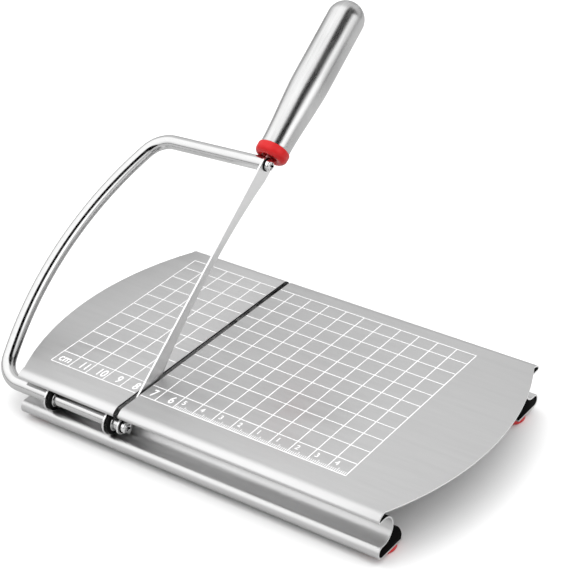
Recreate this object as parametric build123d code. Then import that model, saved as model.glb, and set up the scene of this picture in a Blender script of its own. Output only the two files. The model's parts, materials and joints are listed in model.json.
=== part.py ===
from build123d import *
import math
import os

# Cheese slicer: a folded steel board on four feet, with a slot across it, and a blade
# that is held by a hinged rod bow with a handle. Lengths are millimetres, angles degrees.
# It is modelled about the middle of the board's top face, with X along the hinge, Y from
# the hinge towards the handle and Z up. At the end it is stood on the ground plane.

# Board sheet
sheet = 0.8
rail_length = 192.6
board_width = 220.8
flat_depth = 124.3
slot_width = 2.4
slot_place = -39.4
slot_floor_wall = 0.6

# Folded rail, with radii at the middle of the sheet
nose_radius = 6.0
nose_turn = 45.0
lip_radius = 0.9
lip_length = 3.0
channel_radius = 6.5
channel_foot = 1.4
heel_radius = 2.8
flange_length = 14.2

# End plugs and end caps of the rails
cap_depth = 4.0
cap_inset = 0.1
cap_clearance = 0.05
plug_top_turn = 5.0
plug_bottom_turn = 33.0
cap_top_turn = 12.0
cap_back_reach = 0.6
cap_back_height = 1.75
cap_back_bulge = 1.4

# Feet
foot_radius = 6.5
foot_height = 2.6
foot_rounding = 0.9
foot_from_end = 6.6
foot_from_flange_edge = 4.6
stem_radius = 1.6
stem_clearance = 0.1
stem_head_radius = 2.3
stem_head_height = 1.4

# Hinge brackets and bushes, placed from the blade's middle plane
bracket_thickness = 1.0
bracket_clearance = 0.05
bracket_left_reach = 41.0
bracket_right_reach = 7.0
bush_length = 1.5
bush_radius = 5.4
bush_sleeve_radius = 3.9
bush_fit = 0.03
bush_groove_width = 0.4
bush_groove_depth = 0.6
journal_clearance = 0.05

# Bow rod, placed from the blade's middle plane and the hinge axis
rod_radius = 3.4
journal_radius = 2.9
shoulder_gap = 0.3
arm_foot_span = 70.4
arm_middle_span = 78.9
arm_middle_reach = 56.0
arm_head_span = 59.8
arm_head_drop = 3.0
foot_bend_radius = 13.0
head_bend_radius = 14.0
blade_reach = 137.9
rest_angle = 35.5

# Blade
blade_thickness = 1.0
blade_foot_radius = 4.0
spine_foot_height = 0.7
spine_head_height = 3.9
blade_width = 9.5
blade_waist = 4.9
edge_start_reach = 29.0
edge_end_back = 6.9
edge_corner_radius = 8.0
edge_bevel_height = 1.3
edge_bevel_land = 0.3
head_length = 3.0
head_rounding = 3.2
tang_width = 5.2
tang_offset = 0.1
tang_length = 30.0

# Screws and their washers
screw_radius = 1.5
screw_clearance = 0.05
screw_depth = 8.0
screw_head_radius = 2.8
screw_head_height = 2.2
screw_head_rounding = 0.9
cross_width = 1.1
cross_length = 3.8
cross_depth = 1.4
washer_radius = 3.2
washer_thickness = 0.6

# Handle
collar_start = 3.3
collar_length = 5.4
collar_radius = 8.0
collar_bore = 3.4
collar_rounding = 2.6
collar_mouth = 1.6
handle_length = 82.7
handle_mouth_radius = 7.3
handle_belly_radius = 9.2
handle_taper = 39.0
handle_wall = 0.8
core_length = 32.0
core_nose_length = 3.6
core_clearance = 0.08
tang_clearance = 0.06

# Plain turns
quarter = 90.0
half_turn = 180.0
overrun = 1.0


def turned(length, angle):
    """A vector of the given length, turned from the first axis of a drawing."""
    return Vector(length, 0).rotate(Axis.Z, angle)


# The fold's centres, worked out along the sheet from the front edge of the flat top
blade_middle = slot_place
sheet_middle = sheet / 2
rail_half = rail_length / 2
fold_start = Vector(-flat_depth / 2, -sheet_middle)
nose_centre = fold_start - Vector(0, nose_radius)
nose_end_angle = quarter + nose_turn
lip_centre = nose_centre + turned(nose_radius - lip_radius, nose_end_angle)
channel_top = lip_centre + Vector(lip_length, -lip_radius)
channel_centre = channel_top - Vector(0, channel_radius)
channel_bottom = channel_centre - Vector(0, channel_radius)
heel_centre = channel_bottom - Vector(channel_foot, heel_radius)
flange_end = heel_centre + Vector(flange_length, -heel_radius)
flange_top = flange_end.Y + sheet_middle
flange_under = flange_end.Y - sheet_middle
channel_outer = channel_radius + sheet_middle
channel_inner = channel_radius - sheet_middle

# The stations along the blade, from the hinge to the handle
edge_end_reach = blade_reach - edge_end_back
waist_reach = (edge_start_reach + edge_end_reach) / 2
arm_head_reach = blade_reach - arm_head_drop

# The stations along the hinge, from left to right
bracket_left = blade_middle - bracket_left_reach
bracket_right = blade_middle - bracket_right_reach
blade_left = blade_middle - blade_thickness / 2
blade_right = blade_middle + blade_thickness / 2
washer_end = blade_right + washer_thickness


def folded_band(start, heading, moves, thickness):
    """Outline of a sheet folded along straight moves and bends (radius and turn)."""
    place = Vector(start)
    sides = (thickness / 2, -thickness / 2)
    edges = []

    def corners():
        left = turned(1, heading + quarter)
        return [place + left * side for side in sides]

    edges.append(Line(*corners()))
    for size, turn in moves:
        if turn == 0:
            step = turned(size, heading)
            edges += [Line(corner, corner + step) for corner in corners()]
            place += step
        else:
            hand = math.copysign(1, turn)
            centre = place + turned(size, heading + quarter * hand)
            first = heading - quarter * hand
            edges += [CenterArc(centre, size - hand * side, first, turn) for side in sides]
            place = centre + turned(size, first + turn)
            heading += turn
    edges.append(Line(*corners()))
    return make_face(edges)


def bar(radius, low, high, across=0, up=0):
    """A round bar along X between two stations."""
    at = Plane.YZ.offset(low) * Pos(across, up, 0)
    return at * Cylinder(radius, high - low, align=(Align.CENTER, Align.CENTER, Align.MIN))


def folded_rail():
    """The front rail: rolled nose, open channel, heel and flange in one sheet."""
    moves = [
        (nose_radius, nose_turn),
        (lip_radius, half_turn - nose_turn),
        (lip_length, 0),
        (channel_radius, -half_turn),
        (channel_foot, 0),
        (heel_radius, half_turn),
        (flange_length, 0),
    ]
    section = folded_band(fold_start, half_turn, moves, sheet)
    return extrude(Plane.YZ * section, rail_half, both=True)


def board_sheet():
    """The flat top with bulging sides, its two folded rails and the blade's slot."""
    front = -flat_depth / 2
    rear = flat_depth / 2
    side = board_width / 2
    outline = [
        Line((-rail_half, front), (rail_half, front)),
        ThreePointArc((rail_half, front), (side, 0), (rail_half, rear)),
        Line((rail_half, rear), (-rail_half, rear)),
        ThreePointArc((-rail_half, rear), (-side, 0), (-rail_half, front)),
    ]
    top = extrude(make_face(outline), -sheet)
    rail = folded_rail()
    board = top + rail + mirror(rail, Plane.XZ)
    slot_floor = channel_bottom.Y + sheet_middle + slot_floor_wall
    slot_depth = overrun - slot_floor
    slot = Box(slot_width, flat_depth + rail_length, slot_depth)
    board -= Pos(slot_place, 0, slot_floor + slot_depth / 2) * slot
    for place in foot_places().values():
        hole = Cylinder(stem_radius + stem_clearance, sheet + 2 * overrun)
        board -= Pos(place.X, place.Y, flange_end.Y) * hole
    return board


def foot_places():
    """Where the four feet stand, by the name of their corner."""
    across = rail_half - foot_from_end
    along = flange_end.X - foot_from_flange_edge
    return {
        "front_left": Vector(-across, along),
        "front_right": Vector(across, along),
        "rear_left": Vector(-across, -along),
        "rear_right": Vector(across, -along),
    }


def foot(place):
    """A rubber foot: pad under the flange, stem through it and a head on top."""
    low = (Align.CENTER, Align.CENTER, Align.MIN)
    pad = Cylinder(foot_radius, foot_height, align=low)
    pad = fillet(pad.edges().group_by(Axis.Z)[0], foot_rounding)
    pad = Pos(0, 0, flange_under - foot_height) * pad
    stem = Pos(0, 0, flange_under) * Cylinder(stem_radius, sheet, align=low)
    head = Cylinder(stem_head_radius, stem_head_height, align=low)
    head = fillet(head.edges().group_by(Axis.Z)[-1], stem_head_height / 2)
    head = Pos(0, 0, flange_top) * head
    return Pos(place.X, place.Y, 0) * (pad + stem + head)


def end_piece(section):
    """A plug of the given section, pushed into the right end of the front rail."""
    start = rail_half - cap_inset - cap_depth
    return extrude(Plane.YZ.offset(start) * section, cap_depth)


def roll_plug():
    """Crescent plug that closes the end of the rolled nose."""
    nose = nose_radius - sheet_middle - cap_clearance
    lip = lip_radius - sheet_middle - cap_clearance
    back = channel_outer + cap_clearance
    start = quarter + plug_top_turn
    top = nose_centre + turned(nose, start)
    lip_foot = lip_centre - Vector(0, lip)
    channel_crown = channel_centre + Vector(0, back)
    lip_back = Vector(channel_crown.X, lip_foot.Y)
    tail = channel_centre + turned(back, quarter - plug_bottom_turn)
    edges = [
        CenterArc(nose_centre, nose, start, nose_end_angle - start),
        CenterArc(lip_centre, lip, nose_end_angle, quarter + half_turn - nose_end_angle),
        Line(lip_foot, lip_back),
        CenterArc(channel_centre, back, quarter, -plug_bottom_turn),
        Line(tail, top),
    ]
    return end_piece(make_face(edges))


def rail_end_cap():
    """Fin that closes the pocket between the channel, the heel and the flange."""
    channel = channel_outer + cap_clearance
    heel = heel_radius - sheet_middle - cap_clearance
    floor = flange_top + cap_clearance
    roof = channel_centre - Vector(0, channel)
    heel_top = heel_centre + Vector(0, heel)
    heel_foot = heel_centre - Vector(0, heel)
    shoulder = channel_centre + turned(channel, -cap_top_turn)
    back_foot = Vector(flange_end.X, floor)
    back = back_foot + Vector(cap_back_reach, cap_back_height)
    chord = shoulder - back
    middle = (shoulder + back) / 2 - turned(cap_back_bulge, half_turn - math.degrees(math.atan2(chord.X, chord.Y)))
    edges = [
        CenterArc(channel_centre, channel, -cap_top_turn, cap_top_turn - quarter),
        Line(roof, heel_top),
        CenterArc(heel_centre, heel, quarter, half_turn),
        Line(heel_foot, back_foot),
        Line(back_foot, back),
        ThreePointArc(back, middle, shoulder),
    ]
    return end_piece(make_face(edges))


def hinge_bracket(station):
    """Round plate set in the rail's channel, with a hole for its bush."""
    disc = bar(channel_inner - bracket_clearance, station, station + bracket_thickness,
               channel_centre.X, channel_centre.Y)
    hole = bar(bush_sleeve_radius + bush_fit, station - overrun,
               station + bracket_thickness + overrun, channel_centre.X, channel_centre.Y)
    return disc - hole


def bush(station):
    """Grooved plastic bush: sleeve in the bracket's hole and a collar on its right."""
    across = channel_centre.X
    up = channel_centre.Y
    face = station + bracket_thickness
    end = face + bush_length
    groove = face + (bush_length - bush_groove_width) / 2
    body = bar(bush_sleeve_radius, station, face, across, up)
    body += bar(bush_radius, face, end, across, up)
    ring = bar(bush_radius + overrun, groove, groove + bush_groove_width, across, up)
    ring -= bar(bush_radius - bush_groove_depth, groove, groove + bush_groove_width, across, up)
    body -= ring
    body -= bar(journal_radius + journal_clearance, station - overrun, end + overrun, across, up)
    return body


def raise_bow(piece):
    """Place a bow piece, modelled flat with the hinge axis at Y = Z = 0."""
    return Pos(0, channel_centre.X, channel_centre.Y) * Rot(rest_angle, 0, 0) * piece


def bow_rod():
    """One bent rod: journal in the bushes, bent arm and the rod that holds the blade."""
    shoulder = bracket_left - shoulder_gap
    foot_corner = Vector(blade_middle - arm_foot_span, 0)
    middle = Vector(blade_middle - arm_middle_span, arm_middle_reach)
    head_corner = Vector(blade_middle - arm_head_span, arm_head_reach)
    head_end = Vector(blade_left, blade_reach)
    run_on = head_end + (head_end - head_corner).normalized() * overrun
    path = Wire([
        Edge.make_line(Vector(shoulder, 0), foot_corner),
        Edge.make_three_point_arc(foot_corner, middle, head_corner),
        Edge.make_line(head_corner, run_on),
    ])
    path = bend_corner(path, foot_corner, foot_bend_radius)
    path = bend_corner(path, head_corner, head_bend_radius)
    rod = sweep(Plane.YZ.offset(shoulder) * Circle(rod_radius), path)
    rod -= bar(rod_radius + overrun, blade_left, blade_left + 2 * overrun, blade_reach)
    rod += bar(journal_radius, shoulder, blade_left)
    for reach in (0, blade_reach):
        bore = blade_left - screw_depth - screw_clearance
        rod -= bar(screw_radius + screw_clearance, bore, blade_left + overrun, reach)
    return rod


def bend_corner(path, corner, radius):
    """Round the path where it passes a corner."""
    vertex = min(path.vertices(), key=lambda item: (Vector(item) - corner).length)
    return path.fillet_2d(radius, [vertex])


def spine_height(reach):
    """Height of the blade's straight back above the bow's plane."""
    share = reach / edge_end_reach
    return spine_foot_height + (spine_head_height - spine_foot_height) * share


def blade_outline():
    """Side view of the blade, with reach along Y and height along Z."""
    head_reach = blade_reach + head_length
    front = Vector(edge_start_reach, spine_height(edge_start_reach) - blade_width)
    waist = Vector(waist_reach, spine_height(waist_reach) - blade_waist)
    back = Vector(edge_end_reach, spine_height(edge_end_reach) - blade_width)
    head_low = Vector(head_reach, spine_height(head_reach) - blade_width)
    head_high = Vector(head_reach, spine_height(head_reach))
    body = make_face([
        Line((0, spine_foot_height), head_high),
        Line(head_high, head_low),
        Line(head_low, back),
        ThreePointArc(back, waist, front),
        Line(front, (0, -blade_foot_radius)),
        Line((0, -blade_foot_radius), (0, spine_foot_height)),
    ])
    body = fillet(body.vertices().group_by(Axis.X)[-1], head_rounding)
    front_corner = body.vertices().sort_by_distance(front)[0]
    body = fillet(front_corner, edge_corner_radius)
    tang_size = tang_end() - blade_reach
    tang = Pos(blade_reach + tang_size / 2, tang_offset) * Rectangle(tang_size, tang_width)
    return body + tang + Circle(blade_foot_radius)


def blade():
    """Flat blade with a hollow cutting edge, a screw hole at each end and a tang."""
    plate = extrude(Plane.YZ.offset(blade_left) * blade_outline(), blade_thickness)
    bevel_side = (blade_thickness - edge_bevel_land) / 2
    long_arcs = plate.edges().filter_by(GeomType.CIRCLE).filter_by(lambda edge: edge.radius > waist_reach)
    for side in (plate.faces().sort_by(Axis.X)[0], plate.faces().sort_by(Axis.X)[-1]):
        edge = [arc for arc in long_arcs if abs(arc.center().X - side.center().X) < bevel_side][0]
        plate = plate.chamfer(edge_bevel_height, bevel_side, [edge], side)
    for reach in (0, blade_reach):
        plate -= bar(screw_radius + screw_clearance, blade_left - overrun, blade_right + overrun, reach)
    return plate


def washer(reach):
    """Dark washer between the blade and a screw's head."""
    ring = bar(washer_radius, blade_right, washer_end, reach)
    return ring - bar(screw_radius + screw_clearance, blade_right - overrun, washer_end + overrun, reach)


def screw(reach):
    """Pan head screw with a cross recess, through the washer and blade into the rod."""
    top = washer_end + screw_head_height
    head = bar(screw_head_radius, washer_end, top, reach)
    head = fillet(head.edges().group_by(Axis.X)[-1], screw_head_rounding)
    shank = bar(screw_radius, blade_left - screw_depth, washer_end, reach)
    body = head + shank
    for size in ((cross_width, cross_length), (cross_length, cross_width)):
        body -= Pos(top, reach, 0) * Box(2 * cross_depth, *size)
    return body


def turned_piece(edges):
    """Turn a half section round the handle's axis, which lies along the bow's reach."""
    profile = make_face(edges)
    solid = revolve(profile, Axis.Y)
    return Pos(blade_middle, 0, 0) * solid


def handle_start():
    """Reach of the joint between the collar and the steel grip."""
    return blade_reach + collar_start + collar_length


def tang_end():
    """Reach of the end of the blade's tang, inside the core."""
    return handle_start() - core_nose_length + tang_length


def grip_outline(inset):
    """Half section of the grip: flared taper, long belly and a round end."""
    start = handle_start()
    mouth = Vector(handle_mouth_radius - inset, start)
    belly = Vector(handle_belly_radius - inset, start + handle_taper)
    dome = Vector(handle_belly_radius - inset, start + handle_length - handle_belly_radius)
    tip = Vector(0, start + handle_length - inset)
    cheek = Vector(0, dome.Y) + turned(handle_belly_radius - inset, quarter / 2)
    along = Vector(0, handle_taper)
    return [
        Line(Vector(0, start), mouth),
        Spline(mouth, belly, tangents=[along, along]),
        Line(belly, dome),
        ThreePointArc(dome, cheek, tip),
        Line(tip, Vector(0, start)),
    ]


def handle_shell():
    """Hollow steel grip, open at the collar."""
    return turned_piece(grip_outline(0)) - turned_piece(grip_outline(handle_wall))


def handle_collar():
    """Rounded ring at the foot of the grip, with a bore for the core's nose."""
    start = blade_reach + collar_start
    end = handle_start()
    section = make_face(Polyline(
        (collar_bore, start), (collar_radius, start), (collar_radius, end), (collar_bore, end), close=True))
    outer = section.vertices().group_by(Axis.X)[-1]
    section = fillet(outer.sort_by(Axis.Y)[0], collar_rounding)
    inner = section.vertices().group_by(Axis.X)[0]
    section = fillet(inner.sort_by(Axis.Y)[0], collar_mouth)
    last = section.vertices().group_by(Axis.X)[-1]
    section = fillet(last.sort_by(Axis.Y)[-1], collar_radius - handle_mouth_radius)
    return Pos(blade_middle, 0, 0) * revolve(section, Axis.Y)


def handle_core():
    """Plug inside the grip and collar, slotted for the blade's tang."""
    start = handle_start() - core_nose_length
    joint = handle_start()
    end = joint + core_length
    nose = collar_bore - core_clearance
    body = handle_mouth_radius - handle_wall - core_clearance
    section = Polyline((0, start), (nose, start), (nose, joint), (body, joint), (body, end), (0, end), close=True)
    solid = turned_piece(section)
    slot_low = blade_reach
    slot_high = tang_end() + tang_clearance
    slot = Box(blade_thickness + 2 * tang_clearance, slot_high - slot_low, tang_width + 2 * tang_clearance)
    return solid - Pos(blade_middle, (slot_low + slot_high) / 2, tang_offset) * slot


def corner_pieces(name, piece):
    """Copies of a front right piece at all four corners, by node name."""
    left = mirror(piece, Plane.YZ)
    return {
        name + "_front_left": left,
        name + "_front_right": piece,
        name + "_rear_left": mirror(left, Plane.XZ),
        name + "_rear_right": mirror(piece, Plane.XZ),
    }


def all_nodes():
    """Every sub-part at rest, by node name."""
    nodes = {"board_sheet": board_sheet()}
    nodes.update(corner_pieces("roll_plug", roll_plug()))
    nodes.update(corner_pieces("rail_end_cap", rail_end_cap()))
    for corner, place in foot_places().items():
        nodes["foot_" + corner] = foot(place)
    for side, station in (("left", bracket_left), ("right", bracket_right)):
        nodes["hinge_bracket_" + side] = hinge_bracket(station)
        nodes["bush_" + side] = bush(station)
    bow = {
        "bow_rod": bow_rod(),
        "blade": blade(),
        "pivot_washer": washer(0),
        "pivot_screw": screw(0),
        "top_washer": washer(blade_reach),
        "top_screw": screw(blade_reach),
        "handle_shell": handle_shell(),
        "handle_collar": handle_collar(),
        "handle_core": handle_core(),
    }
    for name, piece in bow.items():
        nodes[name] = raise_bow(piece)
    return nodes


def main():
    nodes = all_nodes()
    box = Compound(children=[Compound(piece.solids()) for piece in nodes.values()]).bounding_box()
    stand = Vector(-box.center().X, -box.center().Y, -box.min.Z)
    os.makedirs("parts", exist_ok=True)
    for name, piece in nodes.items():
        export_step(Pos(stand) * piece, "parts/" + name + ".step")
    print("moved by", stand)
    print("hinge axis at", stand + Vector(0, channel_centre.X, channel_centre.Y))
    print("size", box.size)


main()
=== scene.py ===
import json
import math

import bmesh
import bpy
from mathutils import Matrix, Vector

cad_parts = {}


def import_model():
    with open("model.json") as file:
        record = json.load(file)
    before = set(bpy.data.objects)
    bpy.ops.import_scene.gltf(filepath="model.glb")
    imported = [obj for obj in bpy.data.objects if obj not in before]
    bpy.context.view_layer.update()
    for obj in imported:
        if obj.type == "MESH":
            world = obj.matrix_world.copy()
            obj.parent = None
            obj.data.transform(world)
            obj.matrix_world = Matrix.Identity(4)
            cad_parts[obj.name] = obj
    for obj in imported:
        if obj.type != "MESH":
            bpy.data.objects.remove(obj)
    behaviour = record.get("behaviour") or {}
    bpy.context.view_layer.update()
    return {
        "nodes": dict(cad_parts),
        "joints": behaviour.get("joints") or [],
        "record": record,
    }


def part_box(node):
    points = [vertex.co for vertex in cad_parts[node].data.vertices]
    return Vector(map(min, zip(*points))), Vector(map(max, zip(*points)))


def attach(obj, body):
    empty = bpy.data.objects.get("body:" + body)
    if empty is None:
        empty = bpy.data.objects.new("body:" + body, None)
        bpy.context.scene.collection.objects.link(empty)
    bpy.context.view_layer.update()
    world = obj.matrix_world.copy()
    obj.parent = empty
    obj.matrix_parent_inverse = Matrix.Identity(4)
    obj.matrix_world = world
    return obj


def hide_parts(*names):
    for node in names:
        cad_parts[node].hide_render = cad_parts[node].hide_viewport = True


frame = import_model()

# Outlines are in millimetres, and each piece is placed in the frame in metres
MM = 0.001
QUARTER = math.pi / 2
HALF_TURN = math.pi

# Degrees between two faces from which their edge stays sharp, and from which it is rounded
SHARP_ANGLE = 40
ROUNDED_ANGLE = 50

# Segments of a full turn, and rows of the flat top
LATHE_STEPS = 72
ROD_STEPS = 64
SCREW_STEPS = 48
GRIP_STEPS = 96
FLAT_ROWS = 64

# Board sheet and folded rail, with radii at the middle of the sheet
SHEET = 0.8
RAIL_HALF = 96.3
SIDE_HALF = 110.4
FLAT_HALF = 62.15
SLOT_HALF = 1.2
SLOT_X = -39.4
NOSE_RADIUS = 6.0
NOSE_TURN = math.radians(45)
LIP_RADIUS = 0.9
LIP_LENGTH = 3.0
CHANNEL_RADIUS = 6.5
CHANNEL_FOOT = 1.4
HEEL_RADIUS = 2.8
FLANGE_LENGTH = 14.2
RIM_ROUND = 0.14

# Plugs and end caps of the rails
CAP_DEPTH = 4.0
CAP_INSET = 0.1
CAP_GAP = 0.05
PLUG_TOP_TURN = math.radians(5)
PLUG_BOTTOM_TURN = math.radians(33)
CAP_TOP_TURN = math.radians(12)
CAP_BACK = (0.6, 1.75)
CAP_BULGE = 1.4
CAP_ROUND = 0.12

# Feet
FOOT_RADIUS = 6.5
FOOT_HEIGHT = 2.6
FOOT_ROUND = 0.9
PAD_TOP_ROUND = 0.4
STEM_RADIUS = 1.6
STEM_HEAD_RADIUS = 2.3
STEM_HEAD_HEIGHT = 1.4

# Hinge, with the brackets placed along the board from the slot
BRACKET_LEFT = SLOT_X - 41.0
BRACKET_RIGHT = SLOT_X - 7.0
BRACKET_THICK = 1.0
BRACKET_RADIUS = 6.05
BUSH_LENGTH = 1.5
BUSH_RADIUS = 5.4
BUSH_SLEEVE = 3.9
GROOVE_WIDTH = 0.4
GROOVE_DEPTH = 0.6
BUSH_BORE = 2.95
PLATE_PLAY = 0.03
PLATE_ROUND = 0.15
BUSH_ROUND = 0.18
# The groove's painted highlight: a steel ring's depth below and height above the groove's floor
HIGHLIGHT_BAND_SINK = 0.2
HIGHLIGHT_BAND_RISE = 0.15

# Bow
REST_ANGLE = math.radians(35.5)
ROD_RADIUS = 3.4
JOURNAL_RADIUS = 2.9
SHOULDER_GAP = 0.3
ARM_FOOT = SLOT_X - 70.4
ARM_MIDDLE = (SLOT_X - 78.9, 56.0)
ARM_HEAD = (SLOT_X - 59.8, 134.9)
FOOT_BEND = 13.0
HEAD_BEND = 14.0
BLADE_REACH = 137.9
ROD_END_ROUND = 0.35
JOURNAL_OVERLAP = 0.2
JOURNAL_ROUND = 0.2

# Ring on the journal beside each bush, as (station, rise above the journal)
RING_GAP = 0.15
RING_PROFILE = [(0.0, 0.0), (0.1, 0.8), (0.5, 0.8), (0.7, 0.6), (0.7, 0.0)]

# Blade
BLADE_HALF = 0.5
BLADE_FOOT = 4.0
SPINE_FOOT = 0.7
SPINE_HEAD = 3.9
BLADE_WIDTH = 9.5
BLADE_WAIST = 4.9
EDGE_START = 29.0
EDGE_END = 131.0
EDGE_LAND = 0.15
EDGE_HEIGHT = 1.3
HEAD_END = BLADE_REACH + 3.0
HEAD_ROUND = 3.2
TANG_HALF = 2.6
TANG_MIDDLE = 0.1
TANG_LENGTH = 30.0
TANG_STEP = 0.01
BLADE_ROUND = 0.14
GRIND_BEFORE = 4.0
GRIND_AFTER = 3.0
GRIND_FADE = 6.0

# Screws and washers
WASHER_RADIUS = 3.2
WASHER_THICK = 0.6
WASHER_ROUND = 0.2
SCREW_RADIUS = 2.8
SCREW_HEIGHT = 2.2
CROSS_WIDTH = 1.1
CROSS_LENGTH = 3.8
CROSS_DEPTH = 1.4
CROSS_TURN = math.radians(20)
CROSS_FLOOR_SHARE = 0.55
CROSS_MOUTH_SHARE = 1.25
CUT_OVERRUN = 1.0
CROWN_ROUND = 0.9
CROWN_EDGE = 0.1
SHANK_RADIUS = 1.5
SHANK_LENGTH = 8.0
SHANK_PLAY = 0.05

# Top of a screw's head, as (rise, share of its radius)
CROWN_TOP = [(0.1, 0.35), (0.12, 0.0)]

# Handle
COLLAR_START = BLADE_REACH + 3.3
GRIP_START = COLLAR_START + 5.4
GRIP_LENGTH = 82.7
MOUTH_RADIUS = 7.3
BELLY_RADIUS = 9.2
GRIP_TAPER = 39.0
GRIP_WALL = 0.8
COLLAR_RADIUS = 8.0
COLLAR_BORE = 3.4
COLLAR_MOUTH = 1.6
COLLAR_ROUND = 2.6
COLLAR_FLAT = 1.0
CORE_NOSE = 3.6
GRIP_LIP = 0.25
GRIP_LIP_STEP = 0.08

# Printed grid, measured from the board's middle
CELL = 10.0
GRID_LEFT = -90.0
GRID_FRONT = -51.15
COLUMNS = 16
ROWS = 10
RULER_DEPTH = 9.2
LAST_ROW_DEPTH = 8.2
LINE_WIDTH = 0.42
INK_HEIGHT = 0.03
INK_STEP = 0.004
INK_SINK = 0.02
SLOT_MARGIN = 0.3
COLUMN_MARGIN = 0.5

# The ruler's millimetre marks, which start at a cell
MARKS_CELL = 7
MARKS_LENGTH = 90
MARK_HALF = 0.15
LONG_MARK = 3.2
SHORT_MARK = 2.2

# Printed numbers, placed from the left and the top or middle of their cells
TEXT_DEPTH = 0.02
TEXT_RISE = 0.01
TEXT_WEIGHT_SHARE = 0.012
LARGE_SIZE = 7.4
LARGE_WIDTH_SHARE = 0.72
LARGE_SHIFT = 6.4
LARGE_DROP = 0.4
UNIT_SHIFT = 5.2
SMALL_SIZE = 4.2
SMALL_WIDTH_SHARE = 0.9
SMALL_SHIFT = 2.4
SMALL_DROP = 3.8

# The photograph's camera
FOCAL_PIXELS = 1787.0
PICTURE_PIXELS = 576.0
SENSOR = 36.0
AZIMUTH = math.radians(35.73)
ELEVATION = math.radians(30.75)
ROLL = math.radians(-1.55)
DISTANCE = 862.0
AIM_FROM_GRID = (54.1, 110.5)

# The part of a noise's range that a material uses
NOISE_LOW = 0.3
NOISE_HIGH = 0.7

# Noise in the materials: waves in a metre, relief in metres, and changes of the roughness
SMUDGE_SCALE = 45.0
CLOUD_SCALE = 60.0
GRAIN_SCALE = 900.0
FLOOR_SCALE = 8.0
BRUSH_RELIEF = 0.00002
GRAIN_RELIEF = 0.00003
BRUSH_SWING = 0.05
SMUDGE_SWING = (-0.02, 0.03)
CLOUD_SWING = (-0.03, 0.05)

# The sheet's cut faces, painted dark as shade in the slot and painted bright as a highlight at the sides and
# ends: how far out in metres they are painted dark and painted bright, and how far they look sideways
PAINTED_SHADE_REACH = 0.080
PAINTED_HIGHLIGHT_REACH = 0.085
FLAT_FACING = 0.3
SIDE_FACING = 0.45

# Floor and lamp, in metres and watts, and the floor's grey in reflections
FLOOR_HALF = 3.0
FLOOR_REFLECTED = 0.52
LAMP_PLACE = (-0.35, -0.15, 1.2)
LAMP_SIZE = 0.8
LAMP_POWER = 2.5

# Light from the studio, as (share along an axis, level): SKY_SOFT for dull faces, the rest for reflections
SKY_FRONT = [(-1, 0.5), (-0.06, 0.4), (-0.02, 0.3), (0.04, 0.3), (0.16, 1.05), (0.5, 1.5), (1, 1.6)]
SKY_WALL = [
    (-1, 0.5), (-0.06, 0.4), (-0.02, 0.3), (0.06, 0.35), (0.2, 0.70),
    (0.46, 0.75), (0.56, 0.87), (0.62, 0.90), (1, 0.92),
]
SKY_BEHIND = [(-1, 0.0), (0.1, 0.0), (0.35, 1.0), (1, 1.0)]
SKY_GAP = [(-1, 1.0), (0.10, 1.0), (0.24, 0.0), (0.71, 0.0), (0.84, 1.4), (1, 1.7)]
SKY_GAP_SIDE = [(-1, 1.0), (0.45, 1.0), (0.7, 0.0), (1, 0.0)]
SKY_SOFT = [(-1, 0.2), (0, 0.05), (0.22, 0.15), (0.45, 0.95), (0.7, 1.6), (1, 2.0)]

mounts = {mount["name"]: mount for mount in frame["record"]["mounts"]}
board_top = Vector(mounts["board_top"]["pos_m"])
hinge = Vector(frame["joints"][0]["pos_m"])
BOARD = Matrix.Translation(board_top) @ Matrix.Scale(MM, 4)
bow_origin = Vector((board_top.x, hinge.y, hinge.z))
BOW = Matrix.Translation(bow_origin) @ Matrix.Rotation(REST_ANGLE, 4, "X") @ Matrix.Scale(MM, 4)
AXIS_Y = (hinge.y - board_top.y) / MM
AXIS_Z = (hinge.z - board_top.z) / MM


# Points and meshes

def turned(length, angle):
    """A vector of a length at an angle from the first axis."""
    return Vector((length * math.cos(angle), length * math.sin(angle)))


def spread(low, high, steps):
    """Evenly spread numbers, both ends included."""
    return [low + (high - low) * i / steps for i in range(steps + 1)]


def arc(centre, radius, start, turn, steps):
    """Points along an arc, both ends included."""
    return [Vector(centre) + turned(radius, start + turn * i / steps) for i in range(steps + 1)]


def profile_arc(centre, radius, start, turn, steps):
    """The same arc as plain pairs, for a turned profile."""
    return [(point.x, point.y) for point in arc(centre, radius, start, turn, steps)]


def add_piece(name, points, faces, place, material, body, replaces=(), smooth_angle=SHARP_ANGLE):
    """A mesh piece from points in millimetres, riding on a body."""
    mesh = bpy.data.meshes.new(name)
    mesh.from_pydata([tuple(point) for point in points], [], faces)
    mesh.transform(place)
    mesh.materials.append(material)
    piece = bpy.data.objects.new(name, mesh)
    bpy.context.scene.collection.objects.link(piece)
    tidy(mesh)
    smooth(mesh, smooth_angle)
    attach(piece, body)
    if replaces:
        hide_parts(*replaces)
    return piece


def tidy(mesh):
    """Merge doubled points and turn every face outwards."""
    work = bmesh.new()
    work.from_mesh(mesh)
    bmesh.ops.remove_doubles(work, verts=work.verts, dist=1e-7)
    bmesh.ops.recalc_face_normals(work, faces=work.faces)
    work.to_mesh(mesh)
    work.free()


def smooth(mesh, angle):
    """Smooth shading, with sharp edges where faces meet at more than the angle in degrees."""
    mesh.polygons.foreach_set("use_smooth", [True] * len(mesh.polygons))
    mesh.set_sharp_from_angle(angle=math.radians(angle))


def bake(piece, angle=SHARP_ANGLE):
    """Apply a piece's modifiers to its mesh."""
    evaluated = piece.evaluated_get(bpy.context.evaluated_depsgraph_get())
    mesh = bpy.data.meshes.new_from_object(evaluated)
    piece.modifiers.clear()
    piece.data = mesh
    smooth(mesh, angle)


def round_edges(piece, width, segments=2, angle=ROUNDED_ANGLE):
    """Round a piece's sharp edges by a width in millimetres."""
    modifier = piece.modifiers.new("rounding", "BEVEL")
    modifier.width = width * MM
    modifier.segments = segments
    modifier.limit_method = "ANGLE"
    modifier.angle_limit = math.radians(angle)
    bake(piece)


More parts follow.
